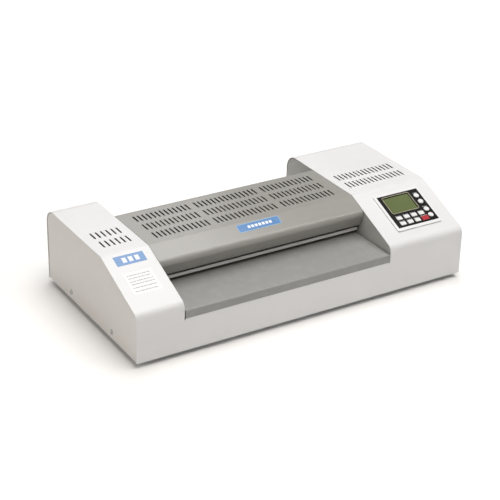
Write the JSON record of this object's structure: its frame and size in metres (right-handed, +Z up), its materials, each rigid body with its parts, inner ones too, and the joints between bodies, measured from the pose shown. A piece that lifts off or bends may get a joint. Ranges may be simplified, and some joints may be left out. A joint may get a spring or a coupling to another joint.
{
  "type": "desktop pouch and roll laminator",
  "caption": "Desktop roll laminator with a flat feed table, geared heated rollers under a vented cover, a housing at each end and a keypad with a display.",
  "frame": {"origin": "on the surface the machine stands on, under the middle of its body", "axes": "+X from the left housing to the right one that holds the keypad, +Y from the operator to the back, +Z up"},
  "size_m": [0.56, 0.293, 0.126],
  "materials": {
    "white_paint": "satin powder coat",
    "grey_paint": "satin powder coat",
    "zinc_steel": "zinc plated",
    "bright_steel": "ground",
    "aluminium": "mill finish",
    "heater_coat": "black anodised",
    "silicone": "matte",
    "foot_rubber": "matte",
    "gear_nylon": "moulded",
    "black_plastic": "moulded",
    "white_plastic": "moulded",
    "red_plastic": "moulded",
    "display": "clear window over a green panel",
    "circuit_board": "solder mask"
  },
  "bodies": {
    "chassis": {"base_pan": "zinc_steel", "front_left_foot": "foot_rubber", "front_right_foot": "foot_rubber", "rear_left_foot": "foot_rubber", "rear_right_foot": "foot_rubber", "outer_case": "white_paint", "left_side_panel": "white_paint", "right_side_panel": "white_paint", "left_cheek": "grey_paint", "right_cheek": "grey_paint", "top_cover": "grey_paint", "feed_table": "grey_paint", "exit_table": "grey_paint", "feed_guide": "aluminium", "exit_guide": "aluminium", "left_frame_plate": "zinc_steel", "right_frame_plate": "zinc_steel", "idler_stud": "bright_steel", "drive_motor": "zinc_steel", "motor_bracket": "zinc_steel", "upper_heater": "heater_coat", "lower_heater": "heater_coat", "panel_bezel": "white_plastic", "display_module": "display", "control_board": "circuit_board", "power_inlet": "black_plastic", "fan_frame": "black_plastic", "main_board": "circuit_board"},
    "front_lower_roller": {"front_lower_shaft": "bright_steel", "front_lower_sleeve": "silicone", "front_lower_gear": "gear_nylon"},
    "front_lift": {"front_bearing_left": "black_plastic", "front_bearing_right": "black_plastic"},
    "front_upper_roller": {"front_upper_shaft": "bright_steel", "front_upper_sleeve": "silicone", "front_upper_gear": "gear_nylon"},
    "rear_lower_roller": {"rear_lower_shaft": "bright_steel", "rear_lower_sleeve": "silicone", "rear_lower_gear": "gear_nylon"},
    "rear_lift": {"rear_bearing_left": "black_plastic", "rear_bearing_right": "black_plastic"},
    "rear_upper_roller": {"rear_upper_shaft": "bright_steel", "rear_upper_sleeve": "silicone", "rear_upper_gear": "gear_nylon"},
    "idler": {"idler_gear": "gear_nylon"},
    "motor_output": {"motor_pinion": "bright_steel"},
    "fan": {"fan_rotor": "black_plastic"},
    "rocker": {"rocker_switch": "black_plastic"},
    "round_button_1_press": {"round_button_1": "white_plastic"},
    "round_button_2_press": {"round_button_2": "white_plastic"},
    "round_button_3_press": {"round_button_3": "white_plastic"},
    "round_button_4_press": {"round_button_4": "white_plastic"},
    "upper_key_1_press": {"upper_key_1": "white_plastic"},
    "upper_key_2_press": {"upper_key_2": "white_plastic"},
    "upper_key_3_press": {"upper_key_3": "white_plastic"},
    "upper_key_4_press": {"upper_key_4": "white_plastic"},
    "lower_key_1_press": {"lower_key_1": "white_plastic"},
    "lower_key_2_press": {"lower_key_2": "white_plastic"},
    "lower_key_3_press": {"lower_key_3": "white_plastic"},
    "stop_key_press": {"stop_key": "red_plastic"}
  },
  "joints": [
    {"name": "front_lower_turn", "type": "hinge", "parent": "chassis", "child": "front_lower_roller", "pos_m": [0, -0.028, 0.0591], "axis": [1, 0, 0], "continuous": true},
    {"name": "front_lift_slide", "type": "slide", "parent": "chassis", "child": "front_lift", "axis": [0, 0, 1], "range_m": [0, 0.0015], "stiffness_N_per_m": 3000, "springref_m": -0.008},
    {"name": "front_upper_turn", "type": "hinge", "parent": "front_lift", "child": "front_upper_roller", "pos_m": [0, -0.028, 0.0891], "axis": [1, 0, 0], "continuous": true},
    {"name": "idler_turn", "type": "hinge", "parent": "chassis", "child": "idler", "pos_m": [0, 0, 0.04833], "axis": [1, 0, 0], "continuous": true},
    {"name": "rear_lower_turn", "type": "hinge", "parent": "chassis", "child": "rear_lower_roller", "pos_m": [0, 0.028, 0.0591], "axis": [1, 0, 0], "continuous": true},
    {"name": "rear_lift_slide", "type": "slide", "parent": "chassis", "child": "rear_lift", "axis": [0, 0, 1], "range_m": [0, 0.0015], "stiffness_N_per_m": 3000, "springref_m": -0.008},
    {"name": "rear_upper_turn", "type": "hinge", "parent": "rear_lift", "child": "rear_upper_roller", "pos_m": [0, 0.028, 0.0891], "axis": [1, 0, 0], "continuous": true},
    {"name": "pinion_turn", "type": "hinge", "parent": "chassis", "child": "motor_output", "pos_m": [0, 0, 0.02433], "axis": [1, 0, 0], "continuous": true},
    {"name": "fan_turn", "type": "hinge", "parent": "chassis", "child": "fan", "pos_m": [0.2125, 0.00935, 0.02], "axis": [0, 0, 1], "continuous": true},
    {"name": "rocker_tip", "type": "hinge", "parent": "chassis", "child": "rocker", "pos_m": [0.237, 0.142, 0.044], "axis": [1, 0, 0], "range_deg": [0, 16]},
    {"name": "round_button_1_travel", "type": "slide", "parent": "chassis", "child": "round_button_1_press", "axis": [0, 0.3786, -0.9256], "range_m": [0, 0.0008], "stiffness_N_per_m": 350, "springref_m": -0.001},
    {"name": "round_button_2_travel", "type": "slide", "parent": "chassis", "child": "round_button_2_press", "axis": [0, 0.3786, -0.9256], "range_m": [0, 0.0008], "stiffness_N_per_m": 350, "springref_m": -0.001},
    {"name": "round_button_3_travel", "type": "slide", "parent": "chassis", "child": "round_button_3_press", "axis": [0, 0.3786, -0.9256], "range_m": [0, 0.0008], "stiffness_N_per_m": 350, "springref_m": -0.001},
    {"name": "round_button_4_travel", "type": "slide", "parent": "chassis", "child": "round_button_4_press", "axis": [0, 0.3786, -0.9256], "range_m": [0, 0.0008], "stiffness_N_per_m": 350, "springref_m": -0.001},
    {"name": "upper_key_1_travel", "type": "slide", "parent": "chassis", "child": "upper_key_1_press", "axis": [0, 0.3786, -0.9256], "range_m": [0, 0.0008], "stiffness_N_per_m": 350, "springref_m": -0.001},
    {"name": "upper_key_2_travel", "type": "slide", "parent": "chassis", "child": "upper_key_2_press", "axis": [0, 0.3786, -0.9256], "range_m": [0, 0.0008], "stiffness_N_per_m": 350, "springref_m": -0.001},
    {"name": "upper_key_3_travel", "type": "slide", "parent": "chassis", "child": "upper_key_3_press", "axis": [0, 0.3786, -0.9256], "range_m": [0, 0.0008], "stiffness_N_per_m": 350, "springref_m": -0.001},
    {"name": "upper_key_4_travel", "type": "slide", "parent": "chassis", "child": "upper_key_4_press", "axis": [0, 0.3786, -0.9256], "range_m": [0, 0.0008], "stiffness_N_per_m": 350, "springref_m": -0.001},
    {"name": "lower_key_1_travel", "type": "slide", "parent": "chassis", "child": "lower_key_1_press", "axis": [0, 0.3786, -0.9256], "range_m": [0, 0.0008], "stiffness_N_per_m": 350, "springref_m": -0.001},
    {"name": "lower_key_2_travel", "type": "slide", "parent": "chassis", "child": "lower_key_2_press", "axis": [0, 0.3786, -0.9256], "range_m": [0, 0.0008], "stiffness_N_per_m": 350, "springref_m": -0.001},
    {"name": "lower_key_3_travel", "type": "slide", "parent": "chassis", "child": "lower_key_3_press", "axis": [0, 0.3786, -0.9256], "range_m": [0, 0.0008], "stiffness_N_per_m": 350, "springref_m": -0.001},
    {"name": "stop_key_travel", "type": "slide", "parent": "chassis", "child": "stop_key_press", "axis": [0, 0.3786, -0.9256], "range_m": [0, 0.0008], "stiffness_N_per_m": 350, "springref_m": -0.001}
  ],
  "couplings": [
    {"joint": "front_upper_turn", "follows": "front_lower_turn", "ratio": -1},
    {"joint": "idler_turn", "follows": "front_lower_turn", "ratio": -1},
    {"joint": "rear_lower_turn", "follows": "front_lower_turn", "ratio": 1},
    {"joint": "rear_upper_turn", "follows": "front_lower_turn", "ratio": -1},
    {"joint": "pinion_turn", "follows": "front_lower_turn", "ratio": 1.6667}
  ]
}
